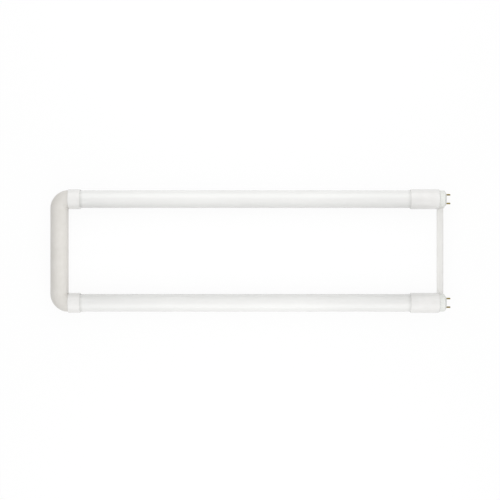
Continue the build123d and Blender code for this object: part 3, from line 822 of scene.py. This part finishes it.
def dress(node, material):
    """Give one of the frame's own nodes a material. Its mesh stays as it is."""
    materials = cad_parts[node].data.materials
    materials.clear()
    materials.append(material)


# White ink screened on aluminium: glossy, with the copper's edges showing through as fine steps. The
# copper's cells are as long as the diodes' pitch.
white_ink = ("E2E4E2", "EEEFEC", 0.3, 0.0)
aluminium = ("B9BBBD", "C9CBCC", 0.35, 1.0)
cells = dict(length=diode_pitch, pitch=5 * mm, gap=0.25 * mm, blur=0.3, second_tone=1.0, shift=0.5)
for leg in leg_sides:
    low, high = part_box(f"light_board_{leg}")
    dress(f"light_board_{leg}", two_finishes(
        "solder_mask_white_on_aluminium", (low.x, low.y, high.z - mask_depth),
        (high.x, high.y, high.z + mask_depth), white_ink, aluminium, cells, 0.03 * mm))


# Diodes
# Forty-eight packages soldered on each strip: a white PPA frame round a window of clear silicone with
# yellow phosphor, whose cut corner marks one terminal.
diode_length = 3.5 * mm
diode_width = 2.8 * mm
diode_height = 0.7 * mm
window_length = 2.9 * mm
window_width = 2.2 * mm
window_floor = 0.25 * mm
window_sink = 0.06 * mm
window_corner = 0.5 * mm
slab_overlap = 0.1 * mm


def row_tree():
    """Copies of one form, in a row."""
    tree, given = new_tree("row", {
        "Form": "Object", "Count": "Int", "First": "Vector", "Step": "Vector", "Material": "Material"})
    row = copies_in_row(tree, given["Form"], given["Count"], given["First"], given["Step"])
    end_tree(tree, row, given["Material"])
    return tree


def row_of(name, form, count, first, step, material):
    """A finished row of one form, which is used up."""
    bm = grown(new_object(name, bpy.data.meshes.new(name)), rows, {
        "Form": form, "Count": count, "First": first, "Step": step, "Material": material})
    bpy.data.objects.remove(form)
    return finished(bm, name, material)


def rectangle(length, width, cut=0.0):
    """A rectangle about the origin, with one corner cut off."""
    x, y = length / 2, width / 2
    corners = [(-x, -y), (x, -y), (x, y), (-x, y)]
    if cut:
        corners[2:3] = [(x, y - cut), (x - cut, y)]
    return corners


def level(z):
    """Level plane at a height over the origin."""
    return Matrix.Translation((0, 0, z))


def ppa_package():
    """The package's frame, moulded from white PPA: a wall round the window, and a floor in it."""
    bm = bmesh.new()
    window = rectangle(window_length, window_width, window_corner)
    add_prism(bm, [rectangle(diode_length, diode_width), window], level(0), diode_height)
    slab = rectangle(window_length + 2 * slab_overlap, window_width + 2 * slab_overlap)
    add_prism(bm, [slab], level(slab_overlap), window_floor - slab_overlap)
    return finished(bm, "package", ppa)


def phosphor_window():
    """The silicone that fills the window, a little below its rim."""
    window = rectangle(window_length, window_width, window_corner)
    height = diode_height - window_floor - window_sink
    return prism("window", [window], level(window_floor), height, phosphor)


# White polyphthalamide, moulded: chalky white with a slight sheen.
ppa = finish(
    "white_ppa_moulded", ("E6E5DC", "EFEEE7"), tone=dict(grain=0.6 * mm),
    relief=dict(grain=0.2 * mm), depth=0.005 * mm, Roughness=0.45, IOR=1.6)
# Silicone with yellow phosphor, cast: glossy, grainy yellow.
phosphor = finish(
    "phosphor_silicone_cast", ("DDB640", "EBCB5E"), tone=dict(grain=0.25 * mm, detail=4.0),
    relief=dict(grain=0.15 * mm), depth=0.008 * mm, Roughness=0.18, IOR=1.41)
rows = row_tree()
for leg in leg_sides:
    low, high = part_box(f"diodes_{leg}")
    count = round((high.x - low.x - diode_length) / diode_pitch) + 1
    first = (low.x + diode_length / 2, leg_y(leg), low.z)
    forms = {"packages": (ppa_package(), ppa), "windows": (phosphor_window(), phosphor)}
    for what, (form, material) in forms.items():
        row = row_of(f"diode_{what}_{leg}", form, count, first, (diode_pitch, 0, 0), material)
        stand_for(row, "diode", f"diodes_{leg}")


# Power boards
# Glass-fibre laminate with green solder mask over copper. The driver's board stands in leg a's base,
# and the small shunt board in leg b's only joins its pins through a fuse.
laminate_edge = 0.12 * mm

# Green epoxy ink over etched copper: glossy, lighter along the tracks, with bare straw-coloured edges.
# The tracks lie side by side at the leads' spacing of 1.27 mm.
green_ink = ("15492B", "22633A", 0.28, 0.0)
laminate = ("A9A06B", "BDB582", 0.6, 0.0)
tracks = dict(length=13 * mm, pitch=1.27 * mm, gap=0.14 * mm, blur=0.2, second_tone=0.6, shift=0.37)
for node in ("driver_board", "shunt_board"):
    low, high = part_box(node)
    edge = Vector((laminate_edge, laminate_edge, -laminate_edge))
    dress(node, two_finishes(
        "solder_mask_green_on_laminate", low + edge, high - edge,
        green_ink, laminate, tracks, 0.04 * mm))


# Transformer
# Two ferrite E cores, glued nose to nose round a coil that is wrapped in yellow polyester tape. It
# stands on the driver's board and brings the mains down to what the diodes need.
core_bar = 2.6 * mm
core_joint = 0.06 * mm
coil_gap = 0.1 * mm
coil_round = 0.8 * mm
tape_step = 1.3 * mm

# Sintered and ground ferrite: nearly black, dull, with the pits of the powder.
pits = dict(grain=0.3 * mm, detail=5.0)
ferrite = finish(
    "ferrite_sintered", ("2A2A2C", "3A3A3D"), tone=pits, relief=pits, depth=0.02 * mm,
    Roughness=0.55, IOR=2.3)
low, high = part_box("transformer")
centre = (low + high) / 2
half_length = (high.x - low.x) / 2
half_width = (high.y - low.y) / 2
bm = bmesh.new()
for side in (1, -1):
    half_core = [
        (core_joint, half_width), (half_length, half_width), (half_length, -half_width),
        (core_joint, -half_width), (core_joint, core_bar - half_width),
        (half_length - core_bar, core_bar - half_width), (half_length - core_bar, half_width - core_bar),
        (core_joint, half_width - core_bar),
    ]
    half_core = [(centre.x + side * x, centre.y + y) for x, y in half_core]
    add_prism(bm, [half_core], level(low.z), high.z - low.z)
stand_for(finished(bm, "transformer_core", ferrite), "ferrite", "transformer")

# Polyester film tape, wound on: glossy yellow, with a fine step at each turn's edge.
turns = dict(grain=0.4 * mm, stretch=(0.1, 0.1, 1))
tape = finish(
    "polyester_tape_wound", ("C9A227", "DDB93F"), tone=turns, relief=turns, depth=0.03 * mm,
    spread=(0.35, 0.65), Roughness=0.2, IOR=1.58)
coil_length = 2 * (half_length - core_bar - coil_gap)
coil_width = 2 * (half_width - core_bar - coil_gap)
foot = Matrix.Translation((centre.x, centre.y, low.z + coil_gap))
coil = prism(
    "transformer_coil", [rounded_bar(coil_length, coil_width, coil_round)], foot,
    high.z - tape_step - low.z - coil_gap, tape)
stand_for(coil, "ferrite", "transformer")


# Choke
# Enamelled copper wire, wound in one layer on a ferrite drum that stands on the driver's board. It
# keeps the driver's switching out of the mains.
drum_flange = 1.0 * mm
drum_waist = 1.1 * mm
drum_round = 0.3 * mm
drum_steps = 96
copper_wire_r = 0.26 * mm
copper_wire_steps = 12
low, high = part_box("choke")
drum_r = (high.x - low.x) / 2
waist_r = drum_r - drum_waist
height = high.z - low.z
upright = Matrix(((0, 1, 0), (0, 0, 1), (1, 0, 0))).to_4x4()
foot = Matrix.Translation(((low.x + high.x) / 2, (low.y + high.y) / 2, low.z)) @ upright
outline = rounded([
    (0, 0, 0), (0, drum_r, drum_round), (drum_flange, drum_r, drum_round), (drum_flange, waist_r, 0),
    (height - drum_flange, waist_r, 0), (height - drum_flange, drum_r, drum_round),
    (height, drum_r, drum_round), (height, 0, 0),
])
stand_for(turned("choke_drum", outline, foot, ferrite, drum_steps), "ferrite", "choke")

# Drawn copper under clear enamel: a deep orange-brown metal with a glassy coat.
copper = finish(
    "copper_wire_enamelled", ("A3542B", "BC6A3A"), tone=dict(grain=0.7 * mm),
    relief=dict(grain=0.3 * mm), depth=0.004 * mm, Metallic=1.0, Roughness=0.25, Coat_Weight=0.5)
turn_pitch = 2.1 * copper_wire_r
turn_count = int((height - 2 * drum_flange) / turn_pitch)
ring = arc(copper_wire_r, 0, 2 * pi, copper_wire_steps, centre=(0, waist_r + copper_wire_r))[:-1]
turn = turned("turn", ring, upright, copper, small_round_steps)
first = foot @ Vector((height / 2 - (turn_count - 1) * turn_pitch / 2, 0, 0))
winding = row_of("choke_winding", turn, turn_count, first, (0, 0, turn_pitch), copper)
stand_for(winding, "ferrite", "choke")


# Small parts on the boards
# The capacitor's can in its sleeve, the moulded chip and rectifier, the dipped varistor and the
# header, all with tinned or bare metal ends.
tin = ("B4B4B0", "C6C6C2", 0.3, 1.0)
black_epoxy = ("1E1E20", "28282B", 0.5, 0.0)
lead_reach = 1.0 * mm
body_lift = 0.15 * mm
sleeve_end = 0.4 * mm
disc_lift = 1.5 * mm
header_block = 2.5 * mm
far = 10 * mm


def small_part(node, name, slack_low, slack_high, inside, outside):
    """Finish a frame's node: its box, drawn in by the given amounts, has one finish, the rest another."""
    low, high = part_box(node)
    inner_low = low + Vector(slack_low)
    inner_high = high - Vector(slack_high)
    dress(node, two_finishes(name, inner_low, inner_high, inside, outside))


# Epoxy moulding compound: matt black, the leads bright tin.
for node in ("control_chip", "rectifier"):
    small_part(
        node, f"epoxy_moulded_{node}", (-far, lead_reach, body_lift / 2), (-far, lead_reach, -far),
        black_epoxy, tin)
# Shrunk PVC sleeve: dark blue, glossy, with the aluminium can's rolled ends showing.
small_part(
    "filter_capacitor", "pvc_sleeve_shrunk", (sleeve_end, -far, -far), (sleeve_end, -far, -far),
    ("232A45", "2D3656", 0.25, 0.0), aluminium)
# Epoxy powder coat, dipped: glossy blue with a soft unevenness.
small_part(
    "varistor", "epoxy_dipped", (-far, -far, disc_lift), (-far, -far, -far),
    ("213D7C", "2C4C92", 0.22, 0.0), tin)
# Glass-filled nylon block with square tinned pins through it.
header_low, header_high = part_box("driver_header")
small_part(
    "driver_header", "nylon_moulded", (-far, -far, header_high.z - header_low.z - header_block),
    (-far, -far, -far), ("1B1B1C", "242425", 0.45, 0.0), tin)


# Fuse
# A glass cartridge with a pressed metal cap on each end and a fine wire between them, on the shunt
# board.
fuse_cap_length = 2.0 * mm
fuse_cap_step = 0.25 * mm
fuse_glass_wall = 0.5 * mm
fuse_cap_round = 0.2 * mm
fuse_wire_r = 0.1 * mm
fuse_wire_steps = 12
seat = 0.3 * mm
low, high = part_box("fuse")
fuse_axis = along_x((low.y + high.y) / 2, (low.z + high.z) / 2)
fuse_r = (high.z - low.z) / 2
glass_r = fuse_r - fuse_cap_step
glass_bore_r = glass_r - fuse_glass_wall
rear = low.x + seat
front = high.x - seat

# Drawn soda-lime glass: clear, smooth, a little green in its thickness.
glass = finish(
    "glass_drawn", ("E6F0EB", "F1F7F4"), tone=dict(grain=2 * mm),
    relief=dict(grain=1.2 * mm, stretch=(0.1, 1, 1)), depth=0.004 * mm,
    Roughness=0.03, IOR=1.52, Transmission_Weight=1.0)
outline = [(rear, glass_bore_r), (rear, glass_r), (front, glass_r), (front, glass_bore_r)]
stand_for(turned("fuse_tube", outline, fuse_axis, glass, small_round_steps), "fuse_glass", "fuse")

# Nickel-plated brass, pressed: bright, faintly warm metal.
nickel = finish(
    "nickel_plated_pressed", ("BDB9AF", "CBC7BE"), tone=dict(grain=0.8 * mm),
    relief=dict(grain=0.5 * mm), depth=0.005 * mm, Metallic=1.0, Roughness=0.22)
bm = bmesh.new()
for end, inward in ((low.x, 1), (high.x, -1)):
    cap_outline = rounded([
        (end, 0, 0), (end, fuse_r, fuse_cap_round), (end + inward * fuse_cap_length, fuse_r, 0),
        (end + inward * fuse_cap_length, glass_r, 0), (end + inward * seat, glass_r, 0),
        (end + inward * seat, 0, 0),
    ])
    add_turned(bm, cap_outline, fuse_axis, small_round_steps)
wire_outline = [(rear, 0), (rear, fuse_wire_r), (front, fuse_wire_r), (front, 0)]
add_turned(bm, wire_outline, fuse_axis, fuse_wire_steps)
stand_for(finished(bm, "fuse_metal", nickel), "fuse_glass", "fuse")


# Wires
# Stranded copper in extruded PVC: red and black from light board to light board, white from each
# pin to its power board. They keep the frame's own solids.
wires = {
    "red": (("9A2226", "AE2F31"), ["link_wire_positive"]),
    "black": (("19191A", "222224"), ["link_wire_negative"]),
    "white": (("DEDEDA", "E8E8E4"), [
        f"pin_lead_{leg}_{position}" for leg in leg_sides for position in ("inner", "outer")]),
}
for colour, (shades, nodes) in wires.items():
    # Extruded PVC: soft gloss, slightly wavy from the strands below it.
    insulation = finish(
        f"pvc_extruded_{colour}", shades, tone=dict(grain=2 * mm), relief=dict(grain=0.6 * mm),
        depth=0.015 * mm, Roughness=0.35, IOR=1.53)
    for node in nodes:
        dress(node, insulation)


# Floor
# A plain white table that the lamp lies on. The camera sees it as nearly even white, with a trace of
# the lamp's shadow.
floor_size = 6.0
floor_shadow = 0.08
white = linear("FFFFFF")


def cleared_tree(owner):
    """The node tree of a material or a world, emptied."""
    owner.use_nodes = True
    owner.node_tree.nodes.clear()
    return owner.node_tree


def seen_by_eye(tree):
    """1 for rays that show a background: straight from the camera, mirrored or let through."""
    path = add_node(tree, "ShaderNodeLightPath").outputs
    seen = path["Is Camera Ray"]
    for ray in ("Is Glossy Ray", "Is Transmission Ray"):
        seen = add_node(tree, "ShaderNodeMath", {0: seen, 1: path[ray]}, operation="MAXIMUM").outputs[0]
    return seen


def white_table():
    """A matt white board. It lights the lamp as such, and is shown as white with some shadow."""
    material = bpy.data.materials.new("white_board_painted")
    tree = cleared_tree(material)
    lit = add_node(tree, "ShaderNodeBsdfDiffuse", {"Color": linear("C0C0C0")}).outputs[0]
    bright = add_node(tree, "ShaderNodeBsdfDiffuse", {"Color": white}).outputs[0]
    plain = add_node(tree, "ShaderNodeEmission", {"Color": white, "Strength": 1.0}).outputs[0]
    shown = add_node(tree, "ShaderNodeMixShader", {0: floor_shadow, 1: plain, 2: bright}).outputs[0]
    mix = add_node(tree, "ShaderNodeMixShader", {0: seen_by_eye(tree), 1: lit, 2: shown})
    add_node(tree, "ShaderNodeOutputMaterial", {"Surface": mix.outputs[0]})
    return material


bm = bmesh.new()
bmesh.ops.create_grid(bm, x_segments=1, y_segments=1, size=floor_size / 2)
finished(bm, "floor", white_table())


# Light
# Two wide softboxes, one over each leg's outer side, in an evenly lit room. A lit white panel that no
# camera sees stands on edge between the legs: it keeps each softbox off the other leg and fills the
# legs' inner sides softly.
softbox_length = 0.7
softbox_width = 0.5
softbox_distance = 0.42
softbox_height = 0.375
softbox_power = 1.25
panel_length = 0.5
panel_thickness = 1 * mm
panel_round = 1 * mm
panel_foot = 0.035
panel_height = 0.14
panel_strength = 1.08
room_strength = 0.66
for side in leg_sides.values():
    lamp = bpy.data.lights.new("softbox", "AREA")
    lamp.shape = "RECTANGLE"
    lamp.size = softbox_length
    lamp.size_y = softbox_width
    lamp.energy = softbox_power
    softbox = new_object("softbox", lamp)
    softbox.location = (0, side * softbox_distance, softbox_height)
    aim = Vector((0, side * leg_spacing / 2, axis_z)) - softbox.location
    softbox.rotation_euler = aim.to_track_quat("-Z", "Y").to_euler()
    softbox.visible_camera = False

panel_material = bpy.data.materials.new("white_panel_lit")
tree = cleared_tree(panel_material)
glow = add_node(tree, "ShaderNodeEmission", {"Color": white, "Strength": panel_strength})
add_node(tree, "ShaderNodeOutputMaterial", {"Surface": glow.outputs[0]})
panel_outline = rounded_bar(panel_length, panel_height, panel_round)
panel_place = Matrix.Translation((0, panel_thickness / 2, panel_foot + panel_height / 2)) @ crosswise
panel = prism("panel", [panel_outline], panel_place, panel_thickness, panel_material)
panel.visible_camera = False

world = bpy.data.worlds.new("room")
bpy.context.scene.world = world
tree = cleared_tree(world)
room = add_node(tree, "ShaderNodeBackground", {"Color": white, "Strength": room_strength}).outputs[0]
backdrop = add_node(tree, "ShaderNodeBackground", {"Color": white, "Strength": 1.0}).outputs[0]
mix = add_node(tree, "ShaderNodeMixShader", {0: seen_by_eye(tree), 1: room, 2: backdrop})
add_node(tree, "ShaderNodeOutputWorld", {"Surface": mix.outputs[0]})


# Camera
# It looks straight down on nearly the middle of the lamp, with the pins to the right. A pixel of the
# picture is 1.4696 mm at the height of the tubes' axes.
camera_x = -0.6 * mm
camera_y = 1.47 * mm
camera_distance = 1.7
photo_width = 500
pixel = 1.4696 * mm
camera_data = bpy.data.cameras.new("camera")
camera_data.sensor_width = 36.0
camera_data.lens = camera_data.sensor_width * camera_distance / (photo_width * pixel)
camera = new_object("camera", camera_data)
camera.location = (camera_x, camera_y, axis_z + camera_distance)
bpy.context.scene.camera = camera
bpy.context.scene.view_settings.view_transform = "Standard"
